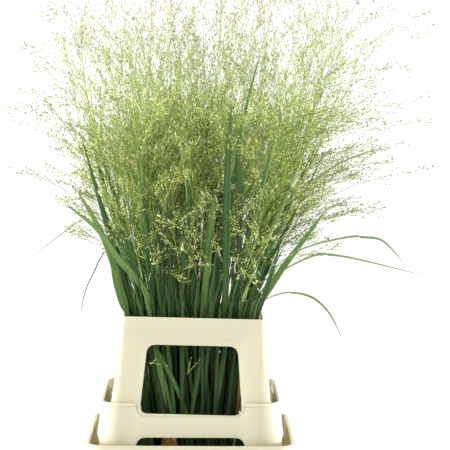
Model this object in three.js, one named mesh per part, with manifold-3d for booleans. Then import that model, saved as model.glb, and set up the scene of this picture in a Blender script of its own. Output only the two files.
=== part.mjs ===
// A trade bunch of cut switchgrass, standing in water in a square plastic bucket with two collars.
// Millimetres, +Z up, +X to the right and -Y to the front. The origin is the middle of the bucket's underside.
import * as THREE from 'three';
import { mergeVertices } from 'three/addons/utils/BufferGeometryUtils.js';
import Module from 'manifold-3d';

const wasm = await Module();
wasm.setup();

// ---- Driving dimensions: the holder ----
const GAP = 0.3; // between pieces that rest on each other
const WALL = 2.6;
const CORNER_STEPS = 3; // facets round each corner of the holder
// Each collar is a square funnel: half its width at the rim, how fast that grows downward, and the same for
// the radius of its corners.
const UPPER = { bottom: 226, top: 386, half: 103.5, flare: 0.171, radius: 4, rounding: 0.16 };
const LOWER = { bottom: 153.3, top: 264, half: 130, flare: 0.14, radius: 30, rounding: 0.12 };
const UPPER_LEAN = THREE.MathUtils.degToRad(1.1); // it sits a little askew, its rim towards +X
const SHELF = { depth: 3.6, thickness: 3 }; // in the lower collar, under the upper one
const FRONT_WINDOW = { bottom: 247, top: 346.5, bottomHalf: 75, topHalf: 66, radius: 13 };
const SIDE_WINDOW = { bottom: 247, top: 346.5, bottomHalf: 121, topHalf: 107, radius: 13 };
const LOW_FRONT_WINDOW = { bottom: 170, top: 215, bottomHalf: 82, topHalf: 78, radius: 14 };
const LOW_SIDE_WINDOW = { bottom: 170, top: 215, bottomHalf: 122, topHalf: 118, radius: 14 };
const RIM_NOTCH = { bottom: 244, top: 290, bottomHalf: 78, topHalf: 83, radius: 14 };
const BUCKET = { height: 205, floor: 4, foot: 128, footRadius: 24, rimRadius: 28, wall: 3 };
// Where the lower collar stands in the bucket: the seat's height, and the walls' half widths round it.
const SEAT = { z: 153, half: 147.3, edge: 142, outer: 150, below: 146 };
const LIP = { half: 152.5, depth: 12 };
const WATER_TOP = 80;

// ---- Driving dimensions: the grass ----
const COLUMNS = 5; // culms across
const ROWS = 5; // culms from front to back
const FOOT_HALF = 50; // half the width of the bunch at the bucket's floor
const RIM_HALF = 97; // and where it leaves the holder
const RIM_HEIGHT = 390;
const SPREAD = 0.58; // how fast it widens above that
const SPREAD_LOSS = 0.00035; // and how that slows with height
const BEND = { loss: 0.34, length: 40 }; // the culms bend outward just above the rim
const PLUME_DRIFT = 0.07; // the plume leans towards +X above the rim
const DEPTH_SHARE = 0.86; // the plume's depth against its width
const ROUNDING = 0.16; // how far the plume's corners are drawn in, seen from above
const ROUNDING_HEIGHT = 150; // above the rim, where they are drawn in fully
const COLUMNS_SHARE = 0.9; // of the half width, taken up by the culms' own cells
const CULM_TOP = 905;
const CULM_RADII = [[0, 2.3], [RIM_HEIGHT, 2.1], [520, 1.6], [700, 1.3], [CULM_TOP, 1.1]];
const CELL_SHARE = 0.92; // how much of its own cell a culm's spray fills
const PLUME_HALF = 390; // half the plume's width, out to the tips of the outer sprays
// How many branches a culm carries, and where the lowest one leaves it. Outer culms branch lower.
const BRANCHES = { inner: 11, outer: 14, innerFoot: 480, outerFoot: 440 };
const UPPER_NODE = 352; // the culm's uppermost node, where its flowering top begins
const SPRAY_RISE = 120; // about how far a branch's tip comes above its foot
const SPIKELET = { length: 3.6, radius: 1 };
const TWIG_RADII = [0.5, 0.4];
const BLADE = { width: 12, thickness: 1.2, spans: 5, longSpans: 8 };
const LOWER_BLADE_WIDTH = 10;
const GOLDEN_ANGLE = Math.PI * (3 - Math.sqrt(5));

const { Vector3 } = THREE;
const UP = new Vector3(0, 0, 1);

// ---- Solids ----

// A closed solid through rings of equal count. A ring of one point is a tip. Rings turn counterclockwise
// about the way they go, and a looped solid's last ring joins its first.
function loft(rings, looped = false) {
  const triangles = [];
  const count = Math.max(...rings.map((ring) => ring.length));
  const at = (ring, k) => ring[k % ring.length];
  const pairs = rings.map((ring, k) => [ring, rings[(k + 1) % rings.length]]);
  for (const [low, high] of looped ? pairs : pairs.slice(0, -1)) {
    for (let k = 0; k < count; k++) {
      if (low.length > 1) triangles.push(at(low, k), at(low, k + 1), at(high, k + 1));
      if (high.length > 1) triangles.push(at(low, k), at(high, k + 1), at(high, k));
    }
  }
  if (!looped) {
    const first = rings[0];
    const last = rings[rings.length - 1];
    for (let k = 1; k + 1 < first.length; k++) triangles.push(first[0], first[k + 1], first[k]);
    for (let k = 1; k + 1 < last.length; k++) triangles.push(last[0], last[k], last[k + 1]);
  }
  return new THREE.BufferGeometry().setFromPoints(triangles);
}

function toSolid(geometry) {
  const bare = geometry.clone();
  bare.deleteAttribute('normal');
  bare.deleteAttribute('uv');
  const merged = mergeVertices(bare, 1e-4);
  return new wasm.Manifold(new wasm.Mesh({
    numProp: 3,
    vertProperties: merged.attributes.position.array,
    triVerts: new Uint32Array(merged.index.array),
  }));
}

function toGeometry(solid) {
  const mesh = solid.getMesh();
  const geometry = new THREE.BufferGeometry();
  geometry.setAttribute('position', new THREE.BufferAttribute(mesh.vertProperties, 3));
  geometry.setIndex(new THREE.BufferAttribute(mesh.triVerts, 1));
  geometry.computeVertexNormals();
  return geometry;
}

const joined = (geometries) => toGeometry(geometries.map(toSolid).reduce((all, next) => all.add(next)));
const cut = (geometry, cutters) => toGeometry(
  cutters.map(toSolid).reduce((left, cutter) => left.subtract(cutter), toSolid(geometry)),
);

// ---- Holder ----

function squareRing(half, radius, z) {
  const ring = [];
  for (let corner = 0; corner < 4; corner++) {
    const middle = (corner + 0.5) * Math.PI / 2;
    const x = Math.sign(Math.cos(middle)) * (half - radius);
    const y = Math.sign(Math.sin(middle)) * (half - radius);
    for (let k = 0; k <= CORNER_STEPS; k++) {
      const angle = (corner + k / CORNER_STEPS) * Math.PI / 2;
      ring.push(new Vector3(x + radius * Math.cos(angle), y + radius * Math.sin(angle), z));
    }
  }
  return ring;
}

function collarRing(collar, z, inset) {
  const drop = collar.top - z;
  const radius = Math.max(collar.radius + drop * collar.rounding - inset, 1);
  return squareRing(collar.half + drop * collar.flare - inset, radius, z);
}

// The prism that cuts a rounded window through the front and back walls.
function windowPrism({ bottom, top, bottomHalf, topHalf, radius }) {
  const corners = [[-bottomHalf, bottom], [bottomHalf, bottom], [topHalf, top], [-topHalf, top]]
    .map(([x, z]) => new THREE.Vector2(x, z));
  const outline = new THREE.Shape();
  corners.forEach((corner, k) => {
    const before = corners[(k + 3) % 4];
    const after = corners[(k + 1) % 4];
    const start = corner.clone().add(before.clone().sub(corner).setLength(radius));
    const end = corner.clone().add(after.clone().sub(corner).setLength(radius));
    if (k === 0) outline.moveTo(start.x, start.y);
    else outline.lineTo(start.x, start.y);
    outline.quadraticCurveTo(corner.x, corner.y, end.x, end.y);
  });
  const reach = LIP.half + 10;
  const options = { depth: 2 * reach, bevelEnabled: false, curveSegments: 3 };
  return new THREE.ExtrudeGeometry(outline, options).translate(0, 0, -reach).rotateX(Math.PI / 2);
}

const sideways = (prism) => prism.rotateZ(Math.PI / 2);

function upperCollar() {
  const { bottom, top } = UPPER;
  const wall = loft([
    collarRing(UPPER, bottom, 0),
    collarRing(UPPER, top, 0),
    collarRing(UPPER, top, WALL),
    collarRing(UPPER, bottom, WALL),
  ], true);
  return cut(wall, [windowPrism(FRONT_WINDOW), sideways(windowPrism(SIDE_WINDOW))]);
}

// How far the leaning upper collar's low edge drops below its middle.
const leanDrop = (UPPER.half + (UPPER.top - UPPER.bottom) * UPPER.flare) * Math.sin(UPPER_LEAN);
const shelfTop = UPPER.bottom - leanDrop - GAP;

function lowerCollar() {
  const { bottom, top } = LOWER;
  const shelfBottom = shelfTop - SHELF.thickness;
  const wall = loft([
    collarRing(LOWER, bottom, 0),
    collarRing(LOWER, top, 0),
    collarRing(LOWER, top, WALL),
    collarRing(LOWER, shelfTop, WALL),
    collarRing(LOWER, shelfTop, WALL + SHELF.depth),
    collarRing(LOWER, shelfBottom, WALL + SHELF.depth),
    collarRing(LOWER, shelfBottom, WALL),
    collarRing(LOWER, bottom, WALL),
  ], true);
  return cut(wall, [
    windowPrism(LOW_FRONT_WINDOW),
    windowPrism(RIM_NOTCH),
    sideways(windowPrism(LOW_SIDE_WINDOW)),
  ]);
}

// The bucket's inner wall at a height below its seat.
function bucketInner(z, inset = 0) {
  const { foot, wall, footRadius, rimRadius, floor } = BUCKET;
  const half = THREE.MathUtils.mapLinear(z, floor, SEAT.z, foot - wall, SEAT.edge);
  const radius = THREE.MathUtils.mapLinear(z, floor, SEAT.z, footRadius, rimRadius) - wall;
  return squareRing(half - inset, radius, z);
}

function bucket() {
  const { height, floor, foot, footRadius, rimRadius, wall } = BUCKET;
  const stepZ = SEAT.z - wall - 4;
  return loft([
    squareRing(foot, footRadius, 0),
    squareRing(SEAT.below, rimRadius, stepZ),
    squareRing(SEAT.outer, rimRadius, stepZ + 4),
    squareRing(SEAT.outer, rimRadius, height - LIP.depth),
    squareRing(LIP.half, rimRadius, height - LIP.depth),
    squareRing(LIP.half, rimRadius, height),
    squareRing(SEAT.half, rimRadius - wall, height),
    squareRing(SEAT.half, rimRadius - wall, SEAT.z),
    squareRing(SEAT.edge, rimRadius - wall, SEAT.z),
    bucketInner(floor),
  ]);
}

// ---- The bunch's shape ----

// Half the bunch's width at a height.
function halfWidth(z) {
  if (z < RIM_HEIGHT) return FOOT_HALF + (RIM_HALF - FOOT_HALF) * (z / RIM_HEIGHT) ** 2;
  const above = z - RIM_HEIGHT;
  const bend = BEND.loss * BEND.length * (1 - Math.exp(-above / BEND.length));
  return RIM_HALF + SPREAD * above - SPREAD_LOSS * above ** 2 - bend;
}

// The place at a height, for shares of the bunch's half width and half depth. Each culm keeps to its own
// shares, so that the culms fan out together and none crosses another.
function place(across, back, z) {
  const above = Math.max(z - RIM_HEIGHT, 0);
  const half = halfWidth(z);
  const rounding = ROUNDING * Math.min(above / ROUNDING_HEIGHT, 1);
  const depth = 1 - (1 - DEPTH_SHARE) * Math.min(above / ROUNDING_HEIGHT, 1);
  const x = PLUME_DRIFT * above + across * half * (1 - rounding * back ** 2);
  return new Vector3(x, back * half * depth * (1 - rounding * across ** 2), z);
}

// Draws from one seed, the same in each run.
function draws(seed) {
  let state = seed * 7919 + 17;
  return (low, high) => {
    state = state * 16807 % 2147483647;
    return low + (high - low) * state / 2147483647;
  };
}

// The culm's own span of the bunch, as its middle and how far its sprays may reach. Outer ones hang out.
function span(index, count, offset = 0) {
  const middle = ((2 * index + 1) / count - 1) * COLUMNS_SHARE + offset;
  const half = CELL_SHARE * COLUMNS_SHARE / count;
  return {
    middle,
    low: index === 0 ? -Infinity : middle - half,
    high: index === count - 1 ? Infinity : middle + half,
  };
}

// Each row is shifted sideways against the next, so that no culm hides the one behind it.
const rowOffset = (j) => ((2 * j) % ROWS / (ROWS - 1) - 0.5) * 1.6 * COLUMNS_SHARE / COLUMNS;

function culmRadius(z) {
  const k = CULM_RADII.findIndex(([height]) => height >= z) || 1;
  const [[z0, r0], [z1, r1]] = [CULM_RADII[k - 1], CULM_RADII[k]];
  return THREE.MathUtils.mapLinear(z, z0, z1, r0, r1);
}

// ---- Culms ----

function ringAcross(middle, way, radius, sides = 3) {
  const side = new Vector3(0, 1, 0).cross(way).normalize();
  const front = way.clone().cross(side).normalize();
  return Array.from({ length: sides }, (_, k) => {
    const angle = 2 * Math.PI * k / sides;
    return middle.clone()
      .addScaledVector(side, radius * Math.cos(angle))
      .addScaledVector(front, radius * Math.sin(angle));
  });
}

const STEM_LEVELS = [BUCKET.floor + GAP, 150, 270, UPPER_NODE, 400, 450, 520, 610, 700];

function culmLine(i, j, draw) {
  const across = span(i, COLUMNS, rowOffset(j));
  const back = span(j, ROWS);
  const a = across.middle + draw(-0.25, 0.25) / COLUMNS;
  const b = back.middle + draw(-0.25, 0.25) / ROWS;
  const phase = draw(0, 2 * Math.PI);
  const sway = 0.12 / COLUMNS;
  const top = CULM_TOP - 50 * Math.max(a * a, b * b) - draw(0, 55);
  const shares = (z) => [a + sway * Math.sin(z / 70 + phase), b + sway * Math.cos(z / 85 + phase)];
  const levels = [...STEM_LEVELS, (STEM_LEVELS[STEM_LEVELS.length - 1] + top) / 2, top];
  const knots = levels.map((z) => place(...shares(z), z));
  // The culm runs straight from knot to knot.
  const point = (z) => {
    const k = Math.max(levels.findIndex((level) => level >= z), 1);
    return knots[k - 1].clone().lerp(knots[k], (z - levels[k - 1]) / (levels[k] - levels[k - 1]));
  };
  return { i, j, across, back, top, shares, levels, point };
}

const stemRings = (line, levels, extra = 0) => levels
  .map((z) => ringAcross(line.point(z), UP, culmRadius(z) + extra));

// The culm from its cut end to its uppermost node.
function lowerStem(line, extra = 0) {
  const levels = line.levels.filter((z) => z <= UPPER_NODE);
  return loft(stemRings(line, levels, extra));
}

// The flowering top's own axis, from the uppermost node to its tip.
function upperStem(line) {
  const levels = [UPPER_NODE + GAP, ...line.levels.filter((z) => z > UPPER_NODE && z < line.top)];
  return loft([...stemRings(line, levels), [line.point(line.top)]]);
}

// A branch with a spikelet at its tip. curve runs in the bunch's shares and height.
function twig(foot, curve) {
  const shift = foot.clone().sub(place(...curve(0)));
  const at = (t) => place(...curve(t)).addScaledVector(shift, 1 - t);
  const length = at(0).distanceTo(at(1));
  const step = SPIKELET.length / 2 / length;
  const [thick, thin] = TWIG_RADII;
  const rings = [
    [0, thick],
    [0.5, thin],
    [1 - 2 * step, thin],
    [1 - step, SPIKELET.radius],
  ].map(([t, radius]) => ringAcross(at(t), at(t + 0.01).sub(at(t - 0.01)).normalize(), radius));
  return loft([...rings, [at(1)]]);
}

const isOuter = ({ i, j }) => i % (COLUMNS - 1) === 0 || j % (ROWS - 1) === 0;

// The share of the way from a point in a span to the edge of the span that lies ahead.
const roomAhead = (from, step, { low, high }) => ((step > 0 ? high : low) - from) / step;

function panicle(line, draw) {
  const count = isOuter(line) ? BRANCHES.outer : BRANCHES.inner;
  const foot = (isOuter(line) ? BRANCHES.outerFoot : BRANCHES.innerFoot) + draw(-15, 15);
  const phase = draw(0, 2 * Math.PI);
  return Array.from({ length: count }, (_, k) => {
    const z0 = foot + (line.top - foot - 30) * (k + 0.5) / count;
    const [a, b] = line.shares(z0);
    const turn = phase + k * GOLDEN_ANGLE;
    const [stepA, stepB] = [Math.cos(turn), Math.sin(turn)];
    const reach = PLUME_HALF / halfWidth(z0 + SPRAY_RISE) - Math.hypot(a, b);
    const room = Math.min(reach, roomAhead(a, stepA, line.across), roomAhead(b, stepB, line.back));
    const run = room * draw(0.85, 1) * (1 - 0.3 * k / count);
    const rise = 0.5 * run * halfWidth(z0) + draw(20, 50);
    return twig(line.point(z0), (t) => {
      const out = run * (0.7 * t + 0.3 * t * t);
      return [a + stepA * out, b + stepB * out, z0 + rise * t * (1.6 - 0.6 * t)];
    });
  });
}

// A blade through points, its upper face towards the culm. It tapers to its tip and has a keel below.
function blade(curve, facing, width, spans = BLADE.spans) {
  const rings = [];
  for (let k = 0; k < spans; k++) {
    const t = k / spans;
    const way = curve.getTangent(t);
    const side = UP.clone().cross(facing).projectOnPlane(way).normalize();
    const under = side.clone().cross(way);
    const half = width / 2 * Math.min(0.5 + 1.8 * t, 1) * (1 - t ** 2.4);
    const middle = curve.getPoint(t);
    rings.push([
      middle.clone().addScaledVector(under, BLADE.thickness * (1 - 0.4 * t)),
      middle.clone().addScaledVector(side, half),
      middle.clone().addScaledVector(side, -half),
    ]);
  }
  return loft([...rings, [curve.getPoint(1)]]);
}

// Which way a culm's own blade faces, in quarter turns from +X: outward in the front and back rows.
function bladeQuarter({ i, j }, draw) {
  const any = draw(0, 4);
  if (j === 0) return 3;
  if (j === ROWS - 1) return 1;
  return i % (COLUMNS - 1) === 0 ? 1 + 2 * Math.floor(any / 2) : Math.floor(any);
}

// A blade that a culm keeps in its own column.
function ownBlade(line, draw, z0, length, width) {
  const quarter = bladeQuarter(line, draw);
  const turn = (quarter + draw(-0.15, 0.15)) * Math.PI / 2;
  const facing = new Vector3(Math.cos(turn), Math.sin(turn), 0);
  const points = [0, 0.3, 0.6, 1].map((t) => {
    const z = z0 + length * t;
    const room = CELL_SHARE * halfWidth(z) / COLUMNS - 0.25 * width - 2;
    return line.point(z).addScaledVector(facing, Math.min(30 * t, 0.6 * room));
  });
  return blade(new THREE.CatmullRomCurve3(points), facing, width);
}

const lowerBlade = (line, draw) => ownBlade(line, draw, draw(170, 235), draw(170, 215), LOWER_BLADE_WIDTH);
const upperBlade = (line, draw) => ownBlade(line, draw, draw(358, 395), draw(240, 330), BLADE.width);

// ---- Long blades that arch out of the bunch ----

// Each grows from a culm, faces a way in degrees from +X, and runs through points given as the distance
// from the culm and the height above where it leaves it.
const LONG_BLADES = [
  { name: 'long_blade_right_high', i: COLUMNS - 1, j: 2, z: 425, facing: 0, width: 9,
    run: [[0, 0], [61, 50], [135, 72], [164, 74], [191, 69], [229, 30]] },
  { name: 'long_blade_right_middle', i: COLUMNS - 1, j: 1, z: 415, facing: 0, width: 10,
    run: [[0, 0], [39, 22], [98, 53], [121, 60], [150, 58], [284, 27]] },
  { name: 'long_blade_right_low', i: COLUMNS - 1, j: 0, z: 408, facing: 10, width: 8,
    run: [[0, 0], [45, 0], [67, 7], [92, 11], [123, 3], [148, -20], [172, -66]] },
  { name: 'long_blade_left_hanging', i: 0, j: 1, z: 430, facing: 180, width: 8,
    run: [[0, 0], [22, 40], [46, 50], [68, 14], [80, -15], [87, -56]] },
  { name: 'long_blade_left_thin', i: 0, j: 2, z: 440, facing: 180, width: 6,
    run: [[0, 0], [38, 38], [63, 62], [86, 84], [104, 78], [134, 55], [182, 18]] },
];

function longBlade(line, { z, facing, width, run }) {
  const turn = THREE.MathUtils.degToRad(facing);
  const out = new Vector3(Math.cos(turn), Math.sin(turn), 0);
  // The culm has three sides: an edge towards +X and a flat side, half as far out, towards -X.
  const surface = culmRadius(z) * (out.x > 0 ? 1 : 0.5);
  const foot = line.point(z).addScaledVector(out, surface + GAP);
  const points = run.map(([distance, rise]) => foot.clone()
    .addScaledVector(out, distance)
    .addScaledVector(UP, rise));
  return blade(new THREE.CatmullRomCurve3(points), out, width, BLADE.longSpans);
}

// ---- The object ----

const plastic = new THREE.MeshStandardMaterial({ color: 0xe9e5c9, roughness: 0.45 });
const culmGreen = new THREE.MeshStandardMaterial({ color: 0x6f9156, roughness: 0.7 });
const panicleGreen = new THREE.MeshStandardMaterial({ color: 0xa3b36b, roughness: 0.7 });
const bladeGreen = new THREE.MeshStandardMaterial({ color: 0x5d8a55, roughness: 0.6 });
const clearWater = new THREE.MeshStandardMaterial({ color: 0xbfd4d0, roughness: 0.05 });
clearWater.transparent = true;
clearWater.opacity = 0.5;

const bunchInHolder = new THREE.Group();

function add(name, geometry, material) {
  const mesh = new THREE.Mesh(geometry, material.clone());
  mesh.name = name;
  bunchInHolder.add(mesh);
  return mesh;
}

add('bucket', bucket(), plastic);
add('lower_collar', lowerCollar(), plastic);
const leaning = add('upper_collar', upperCollar().translate(0, 0, -UPPER.bottom), plastic);
leaning.position.z = UPPER.bottom;
leaning.rotation.y = UPPER_LEAN;

const lines = new Map();
for (let i = 0; i < COLUMNS; i++) {
  for (let j = 0; j < ROWS; j++) {
    const draw = draws(1 + i * ROWS + j);
    const line = culmLine(i, j, draw);
    lines.set(`${i}_${j}`, line);
    const label = `${i + 1}_${j + 1}`;
    const top = [upperStem(line), upperBlade(line, draw), ...panicle(line, draw)];
    add(`culm_${label}`, joined([lowerStem(line), lowerBlade(line, draw)]), culmGreen);
    add(`panicle_${label}`, joined(top), panicleGreen);
  }
}

for (const spec of LONG_BLADES) {
  add(spec.name, longBlade(lines.get(`${spec.i}_${spec.j}`), spec), bladeGreen);
}

const waterBody = loft([bucketInner(BUCKET.floor + GAP, GAP), bucketInner(WATER_TOP, GAP)]);
const holes = [...lines.values()].map((line) => lowerStem(line, 2 * GAP));
add('water', cut(waterBody, holes), clearWater);

export default bunchInHolder;
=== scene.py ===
"""Looks of a bunch of cut switchgrass in its square plastic bucket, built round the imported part.

Shapes are worked out in millimetres, as in the part's source, and become metres where a mesh is made.
"""
import math

import bpy
import numpy as np
from mathutils import Matrix, Vector


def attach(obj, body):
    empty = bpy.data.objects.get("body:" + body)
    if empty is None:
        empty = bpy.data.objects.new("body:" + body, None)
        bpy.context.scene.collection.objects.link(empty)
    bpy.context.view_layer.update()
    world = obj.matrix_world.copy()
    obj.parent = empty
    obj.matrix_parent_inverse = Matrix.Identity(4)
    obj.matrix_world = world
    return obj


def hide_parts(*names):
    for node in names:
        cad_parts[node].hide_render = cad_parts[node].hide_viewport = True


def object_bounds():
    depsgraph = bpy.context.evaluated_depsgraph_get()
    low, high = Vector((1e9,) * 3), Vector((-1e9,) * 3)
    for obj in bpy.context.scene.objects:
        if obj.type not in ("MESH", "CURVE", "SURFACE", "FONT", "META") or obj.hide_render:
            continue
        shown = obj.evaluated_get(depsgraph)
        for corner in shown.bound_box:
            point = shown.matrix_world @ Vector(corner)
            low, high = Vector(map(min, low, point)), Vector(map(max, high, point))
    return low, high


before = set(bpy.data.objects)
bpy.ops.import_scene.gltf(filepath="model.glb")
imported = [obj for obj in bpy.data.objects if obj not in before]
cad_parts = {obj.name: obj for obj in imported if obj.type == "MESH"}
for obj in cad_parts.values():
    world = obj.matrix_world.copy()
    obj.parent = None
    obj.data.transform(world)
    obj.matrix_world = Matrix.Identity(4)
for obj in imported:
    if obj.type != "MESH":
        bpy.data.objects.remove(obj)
cad_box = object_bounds()

MM = 0.001
UP = np.array([0.0, 0.0, 1.0])

# ---- Holder: the same dimensions as the solids, with finer corners ----
WALL = 2.6
CORNER_STEPS = 12
WINDOW_CORNER_STEPS = 8
UPPER = {"bottom": 226, "top": 386, "half": 103.5, "flare": 0.171, "radius": 4, "rounding": 0.16}
LOWER = {"bottom": 153.3, "top": 264, "half": 130, "flare": 0.14, "radius": 30, "rounding": 0.12}
UPPER_LEAN = math.radians(1.1)
GAP = 0.3
SHELF = {"depth": 3.6, "thickness": 3}
# Windows: bottom, top, half the width at the bottom and at the top, and the corners' radius.
FRONT_WINDOW = (247, 346.5, 75, 66, 13)
SIDE_WINDOW = (247, 346.5, 121, 107, 13)
LOW_FRONT_WINDOW = (170, 215, 82, 78, 14)
LOW_SIDE_WINDOW = (170, 215, 122, 118, 14)
RIM_NOTCH = (244, 290, 78, 83, 14)
BUCKET = {"height": 205, "floor": 4, "foot": 128, "foot_radius": 24, "rim_radius": 28, "wall": 3}
SEAT = {"z": 153, "half": 147.3, "edge": 142, "outer": 150, "below": 146}
LIP = {"half": 152.5, "depth": 12}
EDGE_ROUNDING = 0.6
BEAD = {"height": 4.5, "depth": 1.1}  # along the lower collar's rim
# A low rib across the upper collar, above its window.
RIB = {"z": 356, "half": 66, "height": 1.6, "depth": 0.25, "sunk": 0.4}

# ---- Grass: the same shape rules as the solids ----
COLUMNS = 5
ROWS = 5
FOOT_HALF = 50
RIM_HALF = 97
RIM_HEIGHT = 390
SPREAD = 0.58
SPREAD_LOSS = 0.00035
BEND = {"loss": 0.34, "length": 40}
PLUME_DRIFT = 0.07
DEPTH_SHARE = 0.86
ROUNDING = 0.16
ROUNDING_HEIGHT = 150
COLUMNS_SHARE = 0.9
CULM_TOP = 905
CELL_SHARE = 0.92
PLUME_HALF = 390
SOLID_BRANCHES = {
    "inner": 11, "outer": 14, "inner_foot": 480, "outer_foot": 440, "scatter": 15, "top_gap": 30,
}
SOLID_RUN = (0.85, 1)  # how much of its room a solid's branch takes
SOLID_RISE = (20, 50)
SPRAY_RISE = 120
GOLDEN_ANGLE = math.pi * (3 - math.sqrt(5))
CULM_FOOT = 4.3
CULM_JITTER = 0.25
SWAY = {"share": 0.12 / COLUMNS, "across": 70, "back": 85}  # how far a culm sways, and over what heights
TOP_LOSS = {"edge": 50, "most": 55}  # of the culms at the bunch's edge, and of each one by chance
# A culm's two blades: between what heights their feet are, and how long and wide they are.
UPPER_BLADE = {"foot": (358, 395), "length": (240, 330), "width": 12}
LOWER_BLADE = {"foot": (170, 235), "length": (170, 215), "width": 10}
BLADE_REACH = 30  # of a blade's tip from its culm
BLADE_STEPS = (0, 0.3, 0.6, 1)

# ---- Finer grass, which only the looks have ----
CULM_RADII = ([0, 352, 450, 600, CULM_TOP], [2.2, 1.8, 1.0, 0.5, 0.2])
CULM_MESH = {"own": (6, 22), "more": (4, 30)}  # a culm's sides, and the way between its rings
NODE_SPACING = 118  # between a culm's nodes, which its sheaths grow from
SHEATH = {"top": 460, "share": 0.8, "depth": 0.45}  # it covers this share of the way to the next node
KNOT = {"place": 0.05, "width": 0.09, "low": 0.5, "high": 0.15}  # at a node, low and high on the culm
SLIM_FOOT = {"top": 90, "radius": 2.5}
MORE_CULMS = 66  # flowering culms between the solids' own
MORE_CULMS_EDGE = 0.79
MORE_TOPS = (620, 840)
BRANCHES = {"own": 31, "more": 20}  # of a panicle, the solids' branches among them
BRANCH_FOOT = 415  # where the lowest fine branches leave
BRANCH_RADII = [0.5, 0.14]
BRANCH_STEPS = np.linspace(0, 1, 6)
# Finer branches: the exponent that crowds them low on the culm, their length and rise, and what these lose
# toward its top. One that leaves the bunch's side gains up to "hang" in length and loses "droop" in rise.
FINE_BRANCH = {
    "crowding": 1.2, "length": (35, 110), "length_loss": 0.55,
    "rise": (90, 230), "rise_loss": 0.4, "least_rise": 12, "hang": 250, "droop": 0.55,
    "shortest": 0.08, "top_gap": 25, "above_top": 6,
}
# On either side, how much farther than the rest these hang out, and their share by height.
HANGING = {"left": (1.05, [480, 650], [0.12, 1]), "right": (1.75, [450, 610], [0.2, 1])}
# How thick the fine parts are against the usual, by height.
FINE_SHARES = ([430, 600, 720, 880], [1.5, 1.15, 0.75, 0.5])
TWIG_RADIUS = 0.15
TWIGS = {"fewest": 4, "most": 14, "crowding": 0.8, "tilt": (0.08, 0.5), "lift": 0.15, "sag": (-0.2, 0.08)}
# At a branch's tip, what is added toward its foot, and how single ones differ.
TWIG_LENGTH = {"tip": 16, "added": 34, "range": (0.6, 1.25)}
SPIKELETS_ON_TWIG = 3
SPIKELET = {"length": 5.0, "lengths": (0.75, 1.12), "radius": 0.95, "radii": (0.75, 1.1)}
SPIKELET_RADII = ([720, 900], [1, 0.8])  # by height
SPIKELETS_LEFT = ([740, 890], [1, 0.75])  # the share of them that the plume keeps toward its top
PEDICEL = {"radius": 0.08, "length": (1, 8), "spread": (0.1, 0.5), "lift": 0.1, "turn": 0.12}
# Of a spray: the way between twigs, the least tone, the share of a branch that is bare at its foot by height,
# and its twigs' length against the usual.
PLUME_SPRAYS = {"spacing": 12.5, "pale": 0, "bare": ([440, 670], [0.65, 0.15]), "reach": 1}
LOOSE_SPRAYS = {"spacing": 9, "pale": 0.55, "bare": ([400, 700], [0.1, 0.1]), "reach": 0.65}
SEED = 41

# ---- Leaves ----
# The half width's share at a leaf's foot, how fast it grows, and the exponents that draw it to its tip.
BLADE_FORM = (0.5, 1.8, 2.4, 1)
TUFT_FORM = (0.45, 1.6, 2.6, 0.9)
FRONT_FORM = (0.4, 1.2, 3.5, 0.8)
FAN_FORM = (0.4, 1.2, 3, 0.8)
TUFTS = 5
TUFT_LEAVES = 235
LEAF_FOOT_HALF = 40  # half the width of the bunch's leaves at the bucket's floor
LEAF_EDGE = 0.94  # the share of it that they take
LEAF_FEET = (6, 150)
LEAF_TIPS = [(400, 455), (440, 520), (500, 610), (600, 720)]
LEAF_TIP_CHANCES = [0.5, 0.36, 0.13, 0.01]
CROSSING = {"chance": 0.6, "usual": 0.25, "rare": 0.75}  # how far leaves stray across the bunch
ARCH = {"strength": 0.0009, "most": 110, "turn": 0.5, "drop": 0.35}
THIN_CHANCE = 0.45
LEAF_WIDTHS = {"thin": (3.5, 7.5), "wide": (8, 13)}
DARKEST = 0.03  # the least tone of a green leaf, as one with less takes the orange-brown of painted shade


def unit(vectors):
    return vectors / np.maximum(np.linalg.norm(vectors, axis=-1, keepdims=True), 1e-9)


def way_at(turn, up=0):
    return np.array([math.cos(turn), math.sin(turn), up])


def in_scene(name, data):
    thing = bpy.data.objects.new(name, data)
    bpy.context.scene.collection.objects.link(thing)
    return thing


# ---- Meshes ----


class Batch:
    """Closed solids gathered for one piece: points, triangles, slots, and each point's attributes."""

    def __init__(self):
        self.parts = []
        self.count = 0

    def add(self, points, triangles, slot, along=0.0, across=0.0, tone=0.5):
        values = [np.broadcast_to(value, len(points)) for value in (along, across, tone)]
        slots = np.full(len(triangles), slot, np.int32)
        self.parts.append((points, triangles + self.count, slots, np.stack(values, axis=1)))
        self.count += len(points)

    def build(self, name):
        points, triangles, slots, values = (np.concatenate(part) for part in zip(*self.parts))
        mesh = bpy.data.meshes.new(name)
        mesh.from_pydata((points * MM).tolist(), [], triangles.tolist(), shade_flat=False)
        mesh.polygons.foreach_set("material_index", slots)
        for column, attribute in enumerate(("along", "across", "tone")):
            layer = mesh.attributes.new(attribute, "FLOAT", "POINT")
            layer.data.foreach_set("value", np.ascontiguousarray(values[:, column], np.float32))
        return in_scene(name, mesh)


def ring_triangles(rings, sides):
    """Triangles of a tube of rings, its first ring closed and its last one ending in a tip point."""
    k = np.arange(sides)
    after = (k + 1) % sides
    starts = np.arange(rings - 1)[:, None] * sides
    low, low_after = (starts + k).ravel(), (starts + after).ravel()
    fan = np.arange(1, sides - 1)
    last = (rings - 1) * sides
    return np.concatenate([
        np.stack([low, low_after, low_after + sides], 1),
        np.stack([low, low_after + sides, low + sides], 1),
        np.stack([np.zeros_like(fan), fan + 1, fan], 1),
        np.stack([last + k, last + after, np.full(sides, rings * sides)], 1),
    ])


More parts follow.
